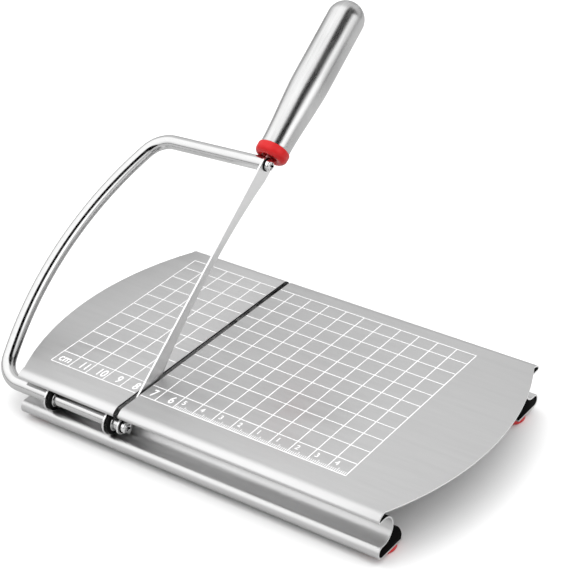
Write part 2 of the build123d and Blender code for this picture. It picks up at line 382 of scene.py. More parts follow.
def ring_faces(count, rings, closed):
    """Quads between rings of points, with the last ring joined to the first if closed."""
    faces = []
    for i in range(rings if closed else rings - 1):
        for j in range(count):
            k = (j + 1) % count
            n = (i + 1) % rings
            faces.append((i * count + j, i * count + k, n * count + k, n * count + j))
    return faces


def lathe(profile, across, up, axis, closed, steps=LATHE_STEPS):
    """Points and faces of a profile (station, radius) turned about an axis along X, Y or Z."""
    points = []
    for station, radius in profile:
        for j in range(steps):
            turn = turned(radius, 2 * HALF_TURN * j / steps)
            if axis == "X":
                points.append((station, across + turn.x, up + turn.y))
            elif axis == "Y":
                points.append((across + turn.x, station, up + turn.y))
            else:
                points.append((across + turn.x, up + turn.y, station))
    return points, ring_faces(steps, len(profile), closed)


def prism(outline, low, high):
    """Points and faces of an outline in Y and Z, drawn out along X."""
    count = len(outline)
    points = [(x, point[0], point[1]) for x in (low, high) for point in outline]
    faces = [tuple(range(count - 1, -1, -1)), tuple(range(count, 2 * count))]
    for j in range(count):
        k = (j + 1) % count
        faces.append((j, k, count + k, count + j))
    return points, faces


# Materials

def new_material(name):
    """A material by itself, with its node tree and main shader."""
    material = bpy.data.materials.new(name)
    material.use_nodes = True
    tree = material.node_tree
    return material, tree, tree.nodes["Principled BSDF"]


def noise(tree, scale, detail, stretch=(1, 1, 1)):
    """Noise over object coordinates, stretched along an axis."""
    place = tree.nodes.new("ShaderNodeTexCoord")
    mapping = tree.nodes.new("ShaderNodeMapping")
    mapping.inputs["Scale"].default_value = stretch
    texture = tree.nodes.new("ShaderNodeTexNoise")
    texture.inputs["Scale"].default_value = scale
    texture.inputs["Detail"].default_value = detail
    tree.links.new(place.outputs["Object"], mapping.inputs["Vector"])
    tree.links.new(mapping.outputs["Vector"], texture.inputs["Vector"])
    return texture.outputs["Fac"]


def ramp(tree, value, low, high, start=NOISE_LOW, end=NOISE_HIGH):
    """Map a value to a range between two numbers."""
    node = tree.nodes.new("ShaderNodeMapRange")
    node.inputs["From Min"].default_value = start
    node.inputs["From Max"].default_value = end
    node.inputs["To Min"].default_value = low
    node.inputs["To Max"].default_value = high
    tree.links.new(value, node.inputs["Value"])
    return node.outputs["Result"]


def bump(tree, shader, value, strength, distance):
    """Fine relief from a value, with its height in metres."""
    node = tree.nodes.new("ShaderNodeBump")
    node.inputs["Strength"].default_value = strength
    node.inputs["Distance"].default_value = distance
    tree.links.new(value, node.inputs["Height"])
    tree.links.new(node.outputs["Normal"], shader.inputs["Normal"])


def tint(tree, shader, value, dark, light):
    """Base colour between a dark and a light grey or colour."""
    node = tree.nodes.new("ShaderNodeValToRGB")
    node.color_ramp.elements[0].position = NOISE_LOW
    node.color_ramp.elements[1].position = NOISE_HIGH
    node.color_ramp.elements[0].color = (*dark, 1)
    node.color_ramp.elements[1].color = (*light, 1)
    tree.links.new(value, node.inputs["Fac"])
    tree.links.new(node.outputs["Color"], shader.inputs["Base Color"])


def mix_colours(tree, factor, first, second, blend_type="MIX"):
    """Blend two colours by a factor."""
    node = tree.nodes.new("ShaderNodeMix")
    node.data_type = "RGBA"
    node.blend_type = blend_type
    colours = [socket for socket in node.inputs if socket.type == "RGBA"]
    tree.links.new(factor, node.inputs[0])
    tree.links.new(first, colours[0])
    tree.links.new(second, colours[1])
    return [socket for socket in node.outputs if socket.type == "RGBA"][0]


def mix_shaders(tree, factor, first, second):
    """Choose between two shaders by a factor."""
    node = tree.nodes.new("ShaderNodeMixShader")
    tree.links.new(factor, node.inputs["Fac"])
    tree.links.new(first, node.inputs[1])
    tree.links.new(second, node.inputs[2])
    return node.outputs[0]


def steel(name, grey, rough, brush, stretch, relief, spread=0.02):
    """Stainless steel: brushed lines along an axis with a fine relief, and faint smudges."""
    material, tree, shader = new_material(name)
    shader.inputs["Metallic"].default_value = 1.0
    lines = noise(tree, brush, detail=4.0, stretch=stretch)
    tint(tree, shader, lines, (grey - spread,) * 3, (grey + spread,) * 3)
    smudge = noise(tree, SMUDGE_SCALE, detail=3.0)
    blend = tree.nodes.new("ShaderNodeMath")
    blend.operation = "ADD"
    tree.links.new(ramp(tree, lines, rough - BRUSH_SWING, rough + BRUSH_SWING), blend.inputs[0])
    tree.links.new(ramp(tree, smudge, *SMUDGE_SWING), blend.inputs[1])
    tree.links.new(blend.outputs[0], shader.inputs["Roughness"])
    bump(tree, shader, lines, relief, BRUSH_RELIEF)
    return material


def size_across(tree, value):
    """How far a vector reaches to either side."""
    split = tree.nodes.new("ShaderNodeSeparateXYZ")
    size = tree.nodes.new("ShaderNodeMath")
    size.operation = "ABSOLUTE"
    tree.links.new(value, split.inputs[0])
    tree.links.new(split.outputs["X"], size.inputs[0])
    return size.outputs[0]


def paint_cut_face_shade_and_highlight(material, dark, light):
    """Faces where the sheet was cut: painted shade inside the slot, a painted highlight at the sides and
    ends.
    """
    tree = material.node_tree
    shader = tree.nodes["Principled BSDF"]
    skin = shader.inputs["Base Color"].links[0].from_socket
    place = tree.nodes.new("ShaderNodeTexCoord")
    edge = tree.nodes.new("ShaderNodeValToRGB")
    edge.color_ramp.elements[0].color = (*dark, 1)
    edge.color_ramp.elements[1].color = (*light, 1)
    # Painted shade near the middle, where the slot is, and a painted highlight towards the sides and ends
    outside = ramp(tree, size_across(tree, place.outputs["Object"]), 0.0, 1.0, PAINTED_SHADE_REACH, PAINTED_HIGHLIGHT_REACH)
    tree.links.new(outside, edge.inputs["Fac"])
    sideways = ramp(tree, size_across(tree, place.outputs["Normal"]), 0.0, 1.0, FLAT_FACING, SIDE_FACING)
    mixed = mix_colours(tree, sideways, skin, edge.outputs["Color"])
    tree.links.new(mixed, shader.inputs["Base Color"])


def plastic(name, dark, light, rough, relief, gloss=0.5):
    """Moulded plastic or rubber, with a fine grain and slightly uneven gloss."""
    material, tree, shader = new_material(name)
    grain = noise(tree, GRAIN_SCALE, detail=3.0)
    cloud = noise(tree, CLOUD_SCALE, detail=2.0)
    tint(tree, shader, cloud, dark, light)
    roughness = ramp(tree, cloud, rough + CLOUD_SWING[0], rough + CLOUD_SWING[1])
    tree.links.new(roughness, shader.inputs["Roughness"])
    shader.inputs["Specular IOR Level"].default_value = gloss
    bump(tree, shader, grain, relief, GRAIN_RELIEF)
    return material


board_steel = steel("board_steel", grey=0.66, rough=0.37, brush=420.0, stretch=(0.08, 1, 1), relief=0.06)
# The cut faces get painted shade in the slot and a painted highlight at the sides and ends
paint_cut_face_shade_and_highlight(board_steel, dark=(0.05, 0.05, 0.05), light=(0.95, 0.95, 0.95))
rod_steel = steel("rod_steel", grey=0.62, rough=0.15, brush=500.0, stretch=(0.3, 1, 1), relief=0.03)
blade_steel = steel("blade_steel", grey=0.84, rough=0.34, brush=500.0, stretch=(1, 0.2, 0.2), relief=0.08)
bracket_steel = steel("bracket_steel", grey=0.74, rough=0.22, brush=500.0, stretch=(1, 1, 1), relief=0.05)
screw_steel = steel("screw_steel", grey=0.82, rough=0.10, brush=700.0, stretch=(1, 1, 1), relief=0.03)
grip_steel = steel("grip_steel", grey=0.58, rough=0.27, brush=500.0, stretch=(1, 0.08, 0.08), relief=0.16,
                   spread=0.07)
black_plastic = plastic("black_plastic", (0.002,) * 3, (0.004,) * 3, rough=0.34, relief=0.04, gloss=0.005)
bush_plastic = plastic("bush_plastic", (0.003,) * 3, (0.006,) * 3, rough=0.30, relief=0.1, gloss=0.12)
washer_plastic = plastic("washer_plastic", (0.003,) * 3, (0.006,) * 3, rough=0.34, relief=0.1, gloss=0.12)
red_plastic = plastic("red_plastic", (0.54, 0.010, 0.012), (0.62, 0.014, 0.016), rough=0.28, relief=0.03,
                      gloss=0.25)
red_rubber = plastic("red_rubber", (0.64, 0.03, 0.035), (0.74, 0.045, 0.05), rough=0.45, relief=0.15)
# The core's red is darker than the collar's: painted shade in the collar's mouth
core_plastic = plastic("core_plastic", (0.34, 0.006, 0.008), (0.40, 0.008, 0.010), rough=0.40, relief=0.1,
                       gloss=0.05)
ink = plastic("ink", (0.86,) * 3, (0.93,) * 3, rough=0.45, relief=0.05)


# Board

def rail_points(steps):
    """The front rail's section at the middle of the sheet, from the flat top to the flange."""
    fold = Vector((-FLAT_HALF, -SHEET / 2))
    nose = fold - Vector((0, NOSE_RADIUS))
    lip = nose + turned(NOSE_RADIUS - LIP_RADIUS, QUARTER + NOSE_TURN)
    channel_top = lip + Vector((LIP_LENGTH, -LIP_RADIUS))
    channel = channel_top - Vector((0, CHANNEL_RADIUS))
    heel = channel - Vector((CHANNEL_FOOT, CHANNEL_RADIUS + HEEL_RADIUS))
    flange = heel + Vector((FLANGE_LENGTH, -HEEL_RADIUS))
    centres = {"nose": nose, "lip": lip, "channel": channel, "heel": heel, "flange": flange}
    points = arc(nose, NOSE_RADIUS, QUARTER, NOSE_TURN, steps)
    points += arc(lip, LIP_RADIUS, QUARTER + NOSE_TURN, HALF_TURN - NOSE_TURN, steps)[1:]
    points += arc(channel, CHANNEL_RADIUS, QUARTER, -HALF_TURN, 3 * steps)
    points += arc(heel, HEEL_RADIUS, QUARTER, HALF_TURN, 2 * steps)
    points.append(flange)
    return points, centres


rail_section, centres = rail_points(12)


def half_width(y):
    """Half the board's width at a depth: straight rails and bulging sides."""
    if abs(y) >= FLAT_HALF:
        return RAIL_HALF
    rise = SIDE_HALF - RAIL_HALF
    radius = (FLAT_HALF ** 2 + rise ** 2) / (2 * rise)
    return SIDE_HALF - radius + math.sqrt(radius ** 2 - y ** 2)


def board_sheet():
    """The folded sheet: a strip of rows from flange to flange, split by the slot."""
    front = list(reversed(rail_section))
    flat = [Vector((y, -SHEET / 2)) for y in spread(-FLAT_HALF, FLAT_HALF, FLAT_ROWS)[1:-1]]
    rear = [Vector((-point.x, point.y)) for point in rail_section]
    rows = front + flat + rear
    slot_floor = centres["channel"].y - CHANNEL_RADIUS + SHEET
    points = []
    faces = []
    for i, row in enumerate(rows):
        inside = len(front) - 1 <= i < len(front) + len(flat)
        side = half_width(row.x) if inside else RAIL_HALF
        points += [(x, row.x, row.y) for x in (-side, SLOT_X - SLOT_HALF, SLOT_X + SLOT_HALF, side)]
        if i == 0:
            continue
        last = 4 * (i - 1)
        here = 4 * i
        whole = max(row.y, rows[i - 1].y) <= slot_floor
        for j in ((0, 1, 2) if whole else (0, 2)):
            faces.append((last + j, last + j + 1, here + j + 1, here + j))
    piece = add_piece("board", points, faces, BOARD, board_steel, "root", ["board_sheet"])
    wall = piece.modifiers.new("wall", "SOLIDIFY")
    wall.thickness = SHEET * MM
    wall.offset = 0
    wall.use_even_offset = True
    round_edges(piece, RIM_ROUND)


def roll_plug_outline():
    """Crescent between the rolled nose, the lip and the channel."""
    nose = NOSE_RADIUS - SHEET / 2 - CAP_GAP
    lip = LIP_RADIUS - SHEET / 2 - CAP_GAP
    back = CHANNEL_RADIUS + SHEET / 2 + CAP_GAP
    start = QUARTER + PLUG_TOP_TURN
    end = QUARTER + NOSE_TURN
    outline = arc(centres["nose"], nose, start, end - start, 12)
    outline += arc(centres["lip"], lip, end, 1.5 * HALF_TURN - end, 8)[1:]
    outline.append(Vector((centres["channel"].x, centres["lip"].y - lip)))
    outline += arc(centres["channel"], back, QUARTER, -PLUG_BOTTOM_TURN, 10)
    return outline


def end_cap_outline():
    """Fin between the channel, the heel and the flange, with a bulging back."""
    channel = CHANNEL_RADIUS + SHEET / 2 + CAP_GAP
    heel = HEEL_RADIUS - SHEET / 2 - CAP_GAP
    base = centres["flange"].y + SHEET / 2 + CAP_GAP
    shoulder = centres["channel"] + turned(channel, -CAP_TOP_TURN)
    foot = Vector((centres["flange"].x, base))
    back = foot + Vector(CAP_BACK)
    chord = shoulder - back
    out = Vector((chord.y, -chord.x)).normalized()
    outline = arc(centres["channel"], channel, -CAP_TOP_TURN, CAP_TOP_TURN - QUARTER, 16)
    outline += arc(centres["heel"], heel, QUARTER, HALF_TURN, 16)
    outline += [foot, back]
    for share in spread(0, 1, 12)[1:-1]:
        bulge = 4 * CAP_BULGE * share * (1 - share)
        outline.append(back + chord * share + out * bulge)
    return outline


def end_pieces(name, outline):
    """The same moulding at all four rail ends."""
    low = RAIL_HALF - CAP_INSET - CAP_DEPTH
    high = RAIL_HALF - CAP_INSET
    for row, depth in (("front", 1), ("rear", -1)):
        for side, across in (("left", -1), ("right", 1)):
            corner = row + "_" + side
            points, faces = prism(outline, low, high)
            points = [(across * x, depth * y, z) for x, y, z in points]
            piece = add_piece(name + "_" + corner + "_moulding", points, faces, BOARD, black_plastic, "root",
                              [name + "_" + corner])
            round_edges(piece, CAP_ROUND, angle=40)


def feet():
    """Round rubber feet, each with a stem and a head above the flange."""
    under = centres["flange"].y - SHEET / 2
    top = centres["flange"].y + SHEET / 2
    pad_top = under - PAD_TOP_ROUND
    steps = 6
    profile = [(under, 0.0), (under, FOOT_RADIUS - PAD_TOP_ROUND), (pad_top, FOOT_RADIUS)]
    profile += profile_arc((under - FOOT_HEIGHT + FOOT_ROUND, FOOT_RADIUS - FOOT_ROUND), FOOT_ROUND,
                           QUARTER, QUARTER, steps)
    profile.append((under - FOOT_HEIGHT, 0.0))
    crown = STEM_HEAD_HEIGHT / 2
    stem = [(pad_top, 0.0), (pad_top, STEM_RADIUS), (top, STEM_RADIUS), (top, STEM_HEAD_RADIUS)]
    stem += profile_arc((top + crown, STEM_HEAD_RADIUS - crown), crown, 0, QUARTER, steps)
    stem.append((top + STEM_HEAD_HEIGHT, 0.0))
    for corner in ("front_left", "front_right", "rear_left", "rear_right"):
        low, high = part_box("foot_" + corner)
        middle = ((low + high) / 2 - board_top) / MM
        pad = lathe(profile, middle.x, middle.y, "Z", False)
        head = lathe(stem, middle.x, middle.y, "Z", False)
        shift = len(pad[0])
        points = pad[0] + head[0]
        faces = pad[1] + [tuple(index + shift for index in face) for face in head[1]]
        add_piece("foot_" + corner + "_rubber", points, faces, BOARD, red_rubber, "root",
                  ["foot_" + corner])


def bracket_plate(side, start, end):
    """A round plate with softened rims around a bush's sleeve."""
    bore = BUSH_SLEEVE + PLATE_PLAY
    rim = BRACKET_RADIUS - PLATE_ROUND
    plate = [
        (start, bore), (start, rim), (start + PLATE_ROUND, BRACKET_RADIUS),
        (end - PLATE_ROUND, BRACKET_RADIUS), (end, rim), (end, bore),
    ]
    points, faces = lathe(plate, AXIS_Y, AXIS_Z, "X", True)
    add_piece("bracket_plate_" + side, points, faces, BOARD, bracket_steel, "root",
              ["hinge_bracket_" + side])


def bush(side, start, end):
    """A black bush with a grooved collar, and a thin bright steel ring in the groove as a painted highlight.
    """
    tip = end + BUSH_LENGTH
    groove = end + (BUSH_LENGTH - GROOVE_WIDTH) / 2
    groove_end = groove + GROOVE_WIDTH
    low = BUSH_RADIUS - GROOVE_DEPTH
    half = BUSH_ROUND / 2
    collar = [
        (start, BUSH_BORE), (start, BUSH_SLEEVE), (end, BUSH_SLEEVE), (end, BUSH_RADIUS - BUSH_ROUND),
        (end + BUSH_ROUND, BUSH_RADIUS), (groove - half, BUSH_RADIUS), (groove, BUSH_RADIUS - half),
        (groove, low), (groove_end, low), (groove_end, BUSH_RADIUS - half), (groove_end + half, BUSH_RADIUS),
        (tip - 2 * BUSH_ROUND, BUSH_RADIUS), (tip - half, BUSH_RADIUS - half),
        (tip, BUSH_RADIUS - 2 * BUSH_ROUND), (tip, BUSH_BORE),
    ]
    points, faces = lathe(collar, AXIS_Y, AXIS_Z, "X", True)
    add_piece("bush_" + side + "_moulding", points, faces, BOARD, bush_plastic, "root",
              ["bush_" + side], smooth_angle=25)
    # A thin ring of bright steel in the groove stands in for the groove's highlight: a painted highlight
    inner = low - HIGHLIGHT_BAND_SINK
    outer = low + HIGHLIGHT_BAND_RISE
    band = [(groove, inner), (groove, outer), (groove_end, outer), (groove_end, inner)]
    points, faces = lathe(band, AXIS_Y, AXIS_Z, "X", True)
    add_piece("bush_groove_highlight_" + side, points, faces, BOARD, bracket_steel, "root")


def hinge_pieces():
    """The bracket plates and the bushes in the front channel."""
    for side, start in (("left", BRACKET_LEFT), ("right", BRACKET_RIGHT)):
        end = start + BRACKET_THICK
        bracket_plate(side, start, end)
        bush(side, start, end)


# Bow

def circle_through(a, b, c):
    """Centre and radius of the circle through three points."""
    a, b, c = (Vector(point) for point in (a, b, c))
    d = 2 * (a.x * (b.y - c.y) + b.x * (c.y - a.y) + c.x * (a.y - b.y))
    sizes = [point.length_squared for point in (a, b, c)]
    x = (sizes[0] * (b.y - c.y) + sizes[1] * (c.y - a.y) + sizes[2] * (a.y - b.y)) / d
    y = (sizes[0] * (c.x - b.x) + sizes[1] * (a.x - c.x) + sizes[2] * (b.x - a.x)) / d
    centre = Vector((x, y))
    return centre, (a - centre).length


def bend_centre(start, along, arm_centre, arm_radius, radius, way):
    """Centre of a bend on a line's right, inside the arm's arc, at its crossing ahead (1) or behind (-1)."""
    along = along.normalized()
    right = Vector((along.y, -along.x))
    base = start + right * radius - arm_centre
    reach = arm_radius - radius
    offset = base.dot(along)
    root = math.sqrt(offset * offset - base.length_squared + reach * reach)
    return base + arm_centre + along * (way * root - offset)


def rod_path():
    """The rod's middle line in the bow's plane, from its shoulder to the blade."""
    arm_centre, arm_radius = circle_through((ARM_FOOT, 0), ARM_MIDDLE, ARM_HEAD)
    shoulder = Vector((BRACKET_LEFT - SHOULDER_GAP, 0))
    left = Vector((-1, 0))
    foot_centre = bend_centre(shoulder, left, arm_centre, arm_radius, FOOT_BEND, 1)
    end = Vector((SLOT_X - BLADE_HALF, BLADE_REACH))
    head_line = end - Vector(ARM_HEAD)
    head_centre = bend_centre(Vector(ARM_HEAD), head_line, arm_centre, arm_radius, HEAD_BEND, -1)
    foot_touch = (foot_centre - arm_centre).normalized()
    head_touch = (head_centre - arm_centre).normalized()
    first = math.atan2(foot_touch.y, foot_touch.x) % (2 * HALF_TURN)
    last = math.atan2(head_touch.y, head_touch.x)
    lean = math.atan2(head_line.y, head_line.x)
    path = [shoulder, shoulder + (foot_centre - shoulder).project(left) * 0.5]
    path += arc(foot_centre, FOOT_BEND, -QUARTER, first - 1.5 * HALF_TURN, 20)
    path += arc(arm_centre, arm_radius, first, last - first, 40)[1:-1]
    path += arc(head_centre, HEAD_BEND, last, QUARTER + lean - last, 20)
    run = end - path[-1]
    path += [path[-1] + run * 0.5, end]
    return path


def bow_rod():
    """The bent part of the polished rod, with a rounded shoulder."""
    path = rod_path()
    last = len(path) - 1
    points = []
    for i, here in enumerate(path):
        along = (path[min(i + 1, last)] - path[max(i - 1, 0)]).normalized()
        out = Vector((0, -1)) if i == last else Vector((along.y, -along.x))
        for j in range(ROD_STEPS):
            turn = turned(ROD_RADIUS, 2 * HALF_TURN * j / ROD_STEPS)
            point = here + out * turn.x
            points.append((point.x, point.y, turn.y))
    faces = ring_faces(ROD_STEPS, len(path), False)
    faces.append(tuple(range(ROD_STEPS)))
    faces.append(tuple(range(last * ROD_STEPS, len(path) * ROD_STEPS)))
    rod = add_piece("rod", points, faces, BOW, rod_steel, "bow", ["bow_rod"])
    round_edges(rod, ROD_END_ROUND, segments=3)


def journal():
    """The rod's thin end that turns in the bushes, with a ring beside each."""
    start = BRACKET_LEFT - SHOULDER_GAP - JOURNAL_OVERLAP
    end = SLOT_X - BLADE_HALF
    profile = [(start, 0), (start, JOURNAL_RADIUS)]
    for bracket in (BRACKET_LEFT, BRACKET_RIGHT):
        ring = bracket + BRACKET_THICK + BUSH_LENGTH + RING_GAP
        profile += [(ring + station, JOURNAL_RADIUS + rise) for station, rise in RING_PROFILE]
    profile += [(end - JOURNAL_ROUND, JOURNAL_RADIUS), (end, JOURNAL_RADIUS - JOURNAL_ROUND), (end, 0)]
    points, faces = lathe(profile, 0, 0, "X", False)
    add_piece("journal", points, faces, BOW, rod_steel, "bow")


def spine_height(reach):
    """Height of the blade's straight back at a reach."""
    return SPINE_FOOT + (SPINE_HEAD - SPINE_FOOT) * reach / EDGE_END


def edge_height(reach):
    """Height of the blade's lower side at a reach."""
    arc_centre, arc_radius = circle_through(
        (EDGE_START, spine_height(EDGE_START) - BLADE_WIDTH),
        ((EDGE_START + EDGE_END) / 2, spine_height((EDGE_START + EDGE_END) / 2) - BLADE_WAIST),
        (EDGE_END, spine_height(EDGE_END) - BLADE_WIDTH),
    )
    if reach < EDGE_START:
        share = reach / EDGE_START
        return -BLADE_FOOT + (spine_height(EDGE_START) - BLADE_WIDTH + BLADE_FOOT) * share
    if reach > EDGE_END:
        return spine_height(reach) - BLADE_WIDTH
    return arc_centre.y + math.sqrt(arc_radius ** 2 - (reach - arc_centre.x) ** 2)


def blade_sides(reach):
    """Top and bottom heights of the blade at a reach, with its round foot and head."""
    high = spine_height(reach)
    low = edge_height(max(reach, 0))
    if reach < BLADE_FOOT:
        foot = math.sqrt(max(BLADE_FOOT ** 2 - reach ** 2, 0))
        high = max(high, foot) if reach >= 0 else foot
        low = min(low, -foot) if reach >= 0 else -foot
    from_head = HEAD_END - reach
    if from_head < HEAD_ROUND:
        drop = HEAD_ROUND - math.sqrt(max(HEAD_ROUND ** 2 - (HEAD_ROUND - from_head) ** 2, 0))
        high = max(high - drop, TANG_MIDDLE + TANG_HALF)
        low = min(low + drop, TANG_MIDDLE - TANG_HALF)
    if reach > HEAD_END:
        high = TANG_MIDDLE + TANG_HALF
        low = TANG_MIDDLE - TANG_HALF
    return high, low


def blade():
    """Thin blade with a round foot, ground hollow edge, rounded head and tang."""
    stations = [-BLADE_FOOT * math.cos(angle) for angle in spread(0, QUARTER, 14)[:-1]]
    stations += spread(0, BLADE_FOOT, 10)
    stations += spread(BLADE_FOOT, HEAD_END - HEAD_ROUND, 90)[1:]
    stations += [HEAD_END - HEAD_ROUND * math.cos(angle) for angle in spread(0, QUARTER, 10)[1:]]
    stations += [HEAD_END + TANG_STEP, GRIP_START - CORE_NOSE + TANG_LENGTH]
    grind_start = EDGE_START - GRIND_BEFORE
    grind_end = EDGE_END + GRIND_AFTER
    points = []
    for reach in stations:
        high, low = blade_sides(reach)
        soft = min(BLADE_ROUND, (high - low) / 4)
        fade = 0.0
        if grind_start < reach < grind_end:
            fade = min(1.0, (reach - grind_start) / GRIND_FADE, (grind_end - reach) / GRIND_FADE)
        bevel = soft + (EDGE_HEIGHT - soft) * fade
        land = BLADE_HALF - soft - (BLADE_HALF - EDGE_LAND - soft) * fade
        loop = [
            (BLADE_HALF - soft, high), (BLADE_HALF, high - soft), (BLADE_HALF, low + bevel), (land, low),
            (-land, low), (-BLADE_HALF, low + bevel), (-BLADE_HALF, high - soft), (-BLADE_HALF + soft, high),
        ]
        points += [(SLOT_X + x, reach, z) for x, z in loop]
    corners = len(loop)
    faces = ring_faces(corners, len(stations), False)
    faces.append(tuple(range(corners)))
    faces.append(tuple(range(len(points) - corners, len(points))))
    add_piece("blade_plate", points, faces, BOW, blade_steel, "bow", ["blade"],
              smooth_angle=20)


def cross_cutter(reach, top):
    """A tapered cross that cuts the recess of a screw's head."""
    half = CROSS_LENGTH / 2
    arm = CROSS_WIDTH / 2
    outline = [
        (half, -arm), (half, arm), (arm, arm), (arm, half), (-arm, half), (-arm, arm),
        (-half, arm), (-half, -arm), (-arm, -arm), (-arm, -half), (arm, -half), (arm, -arm),
    ]
    spin = Matrix.Rotation(CROSS_TURN, 2)
    outline = [spin @ Vector(point) for point in outline]
    levels = ((top - CROSS_DEPTH, CROSS_FLOOR_SHARE), (top + CUT_OVERRUN, CROSS_MOUTH_SHARE))
    points = [(x, reach + y * share, z * share) for x, share in levels for y, z in outline]
    count = len(outline)
    faces = [tuple(range(count)), tuple(range(count, 2 * count))]
    faces += [(j, (j + 1) % count, count + (j + 1) % count, count + j) for j in range(count)]
    mesh = bpy.data.meshes.new("cutter")
    mesh.from_pydata(points, [], faces)
    mesh.transform(BOW)
    tidy(mesh)
    cutter = bpy.data.objects.new("cutter", mesh)
    bpy.context.scene.collection.objects.link(cutter)
    return cutter


def screw_head(name, reach):
    """Pan head with a cross recess, and its shank behind it."""
    low = SLOT_X + BLADE_HALF + WASHER_THICK
    top = low + SCREW_HEIGHT
    profile = [(low - SHANK_LENGTH, 0.0), (low - SHANK_LENGTH, SHANK_RADIUS), (low, SHANK_RADIUS)]
    profile += [(low, SCREW_RADIUS - CROWN_EDGE), (low + CROWN_EDGE, SCREW_RADIUS)]
    profile += profile_arc((top - CROWN_ROUND, SCREW_RADIUS - CROWN_ROUND), CROWN_ROUND, QUARTER, -QUARTER, 8)
    profile += [(top + rise, SCREW_RADIUS * share) for rise, share in CROWN_TOP]
    highest = profile[-1][0]
    profile = [(station - highest + top, radius) for station, radius in profile]
    points, faces = lathe(profile, reach, 0, "X", False, SCREW_STEPS)
    piece = add_piece(name + "_steel", points, faces, BOW, screw_steel, "bow", [name])
    cutter = cross_cutter(reach, top)
    cut = piece.modifiers.new("cross", "BOOLEAN")
    cut.operation = "DIFFERENCE"
    cut.solver = "EXACT"
    cut.object = cutter
    bake(piece, angle=30)
    bpy.data.objects.remove(cutter)


def washer(name, reach):
    """Black washer between the blade and a screw's head."""
    low = SLOT_X + BLADE_HALF
    high = low + WASHER_THICK
    bore = SHANK_RADIUS + SHANK_PLAY
    rim = WASHER_RADIUS - WASHER_ROUND
    profile = [
        (low, bore), (low, rim), (low + WASHER_ROUND, WASHER_RADIUS),
        (high - WASHER_ROUND, WASHER_RADIUS), (high, rim), (high, bore),
    ]
    points, faces = lathe(profile, reach, 0, "X", True)
    add_piece(name + "_ring", points, faces, BOW, washer_plastic, "bow", [name])


def grip_profile(inset):
    """Half section of the grip, from its mouth to its tip."""
    mouth = MOUTH_RADIUS - inset
    belly = BELLY_RADIUS - inset
    profile = []
    for share in spread(0, 1, 24):
        swell = 3 * share ** 2 - 2 * share ** 3
        profile.append((GRIP_START + GRIP_TAPER * share, mouth + (belly - mouth) * swell))
    dome = GRIP_START + GRIP_LENGTH - BELLY_RADIUS
    return profile + profile_arc((dome, 0), belly, QUARTER, -QUARTER, 20)


def grip_shell():
    """Hollow steel grip with a softened mouth."""
    outer = grip_profile(0)
    outer[:1] = [
        (GRIP_START, MOUTH_RADIUS - GRIP_LIP), (GRIP_START + GRIP_LIP_STEP, MOUTH_RADIUS - GRIP_LIP_STEP),
        (GRIP_START + GRIP_LIP, MOUTH_RADIUS),
    ]
    profile = outer + list(reversed(grip_profile(GRIP_WALL)))
    points, faces = lathe(profile, SLOT_X, 0, "Y", True, GRIP_STEPS)
    add_piece("grip_shell", points, faces, BOW, grip_steel, "bow", ["handle_shell"],
              smooth_angle=50)


def collar_ring():
    """Red ring, rounded at its mouth, its front and its rear."""
    front = COLLAR_START + COLLAR_ROUND
    inside = COLLAR_START + COLLAR_MOUTH
    rear = COLLAR_RADIUS - MOUTH_RADIUS
    ring = [(GRIP_START, COLLAR_BORE)]
    ring += profile_arc((inside, COLLAR_BORE + COLLAR_MOUTH), COLLAR_MOUTH, -QUARTER, -QUARTER, 8)
    ring += profile_arc((front, COLLAR_RADIUS - COLLAR_ROUND), COLLAR_ROUND, HALF_TURN, -QUARTER, 12)
    ring += [(front + COLLAR_FLAT, COLLAR_RADIUS)]
    ring += profile_arc((GRIP_START - rear, COLLAR_RADIUS - rear), rear, QUARTER, -QUARTER, 6)
    points, faces = lathe(ring, SLOT_X, 0, "Y", True, GRIP_STEPS)
    add_piece("collar_ring", points, faces, BOW, red_plastic, "bow", ["handle_collar"],
              smooth_angle=60)


def handle_core():
    """The frame's own core, which holds the tang, in a red darker than the collar's as painted shade in the
    collar's mouth.
    """
    core = frame["nodes"]["handle_core"]
    core.data.materials.clear()
    core.data.materials.append(core_plastic)


# Printed grid

def box_points(x0, y0, x1, y1, height):
    """Points and faces of a thin bar of ink that starts just under the board's top."""
    corners = [(x0, y0), (x1, y0), (x1, y1), (x0, y1)]
    points = [(x, y, -INK_SINK) for x, y in corners] + [(x, y, height) for x, y in corners]
    faces = [(3, 2, 1, 0), (4, 5, 6, 7), (0, 1, 5, 4), (1, 2, 6, 5), (2, 3, 7, 6), (3, 0, 4, 7)]
    return points, faces


def grid_bars():
    """Bars of ink for the centimetre lines, and for the ruler's millimetre marks on the right."""
    half = LINE_WIDTH / 2
    right = GRID_LEFT + COLUMNS * CELL
    slot_low = SLOT_X - SLOT_HALF - SLOT_MARGIN
    slot_high = SLOT_X + SLOT_HALF + SLOT_MARGIN
    ruler_top = GRID_FRONT + RULER_DEPTH
    rows = [GRID_FRONT, ruler_top]
    rows += [ruler_top + CELL * i for i in range(1, ROWS)]
    rows.append(rows[-1] + LAST_ROW_DEPTH)
    bars = []
    for y in rows:
        for x0, x1 in ((GRID_LEFT - half, slot_low), (slot_high, right + half)):
            bars.append((x0, y - half, x1, y + half, INK_HEIGHT))
    for i in range(COLUMNS + 1):
        x = GRID_LEFT + CELL * i
        if abs(x - SLOT_X) > SLOT_HALF + COLUMN_MARGIN:
            bars.append((x - half, rows[0], x + half, rows[-1], INK_HEIGHT - INK_STEP))
    for i in range(1, MARKS_LENGTH):
        x = GRID_LEFT + MARKS_CELL * CELL + i
        if i % 10:
            mark = LONG_MARK if i % 5 == 0 else SHORT_MARK
            bars.append((x - MARK_HALF, rows[0], x + MARK_HALF, rows[0] + mark, INK_HEIGHT - 2 * INK_STEP))
    return bars


def printed_grid():
    """The white printed grid, as one piece of thin raised ink."""
    points = []
    faces = []
    for bar in grid_bars():
        shift = len(points)
        more, sides = box_points(*bar)
        points += more
        faces += [tuple(index + shift for index in side) for side in sides]
    add_piece("grid_lines", points, faces, BOARD, ink, "root")


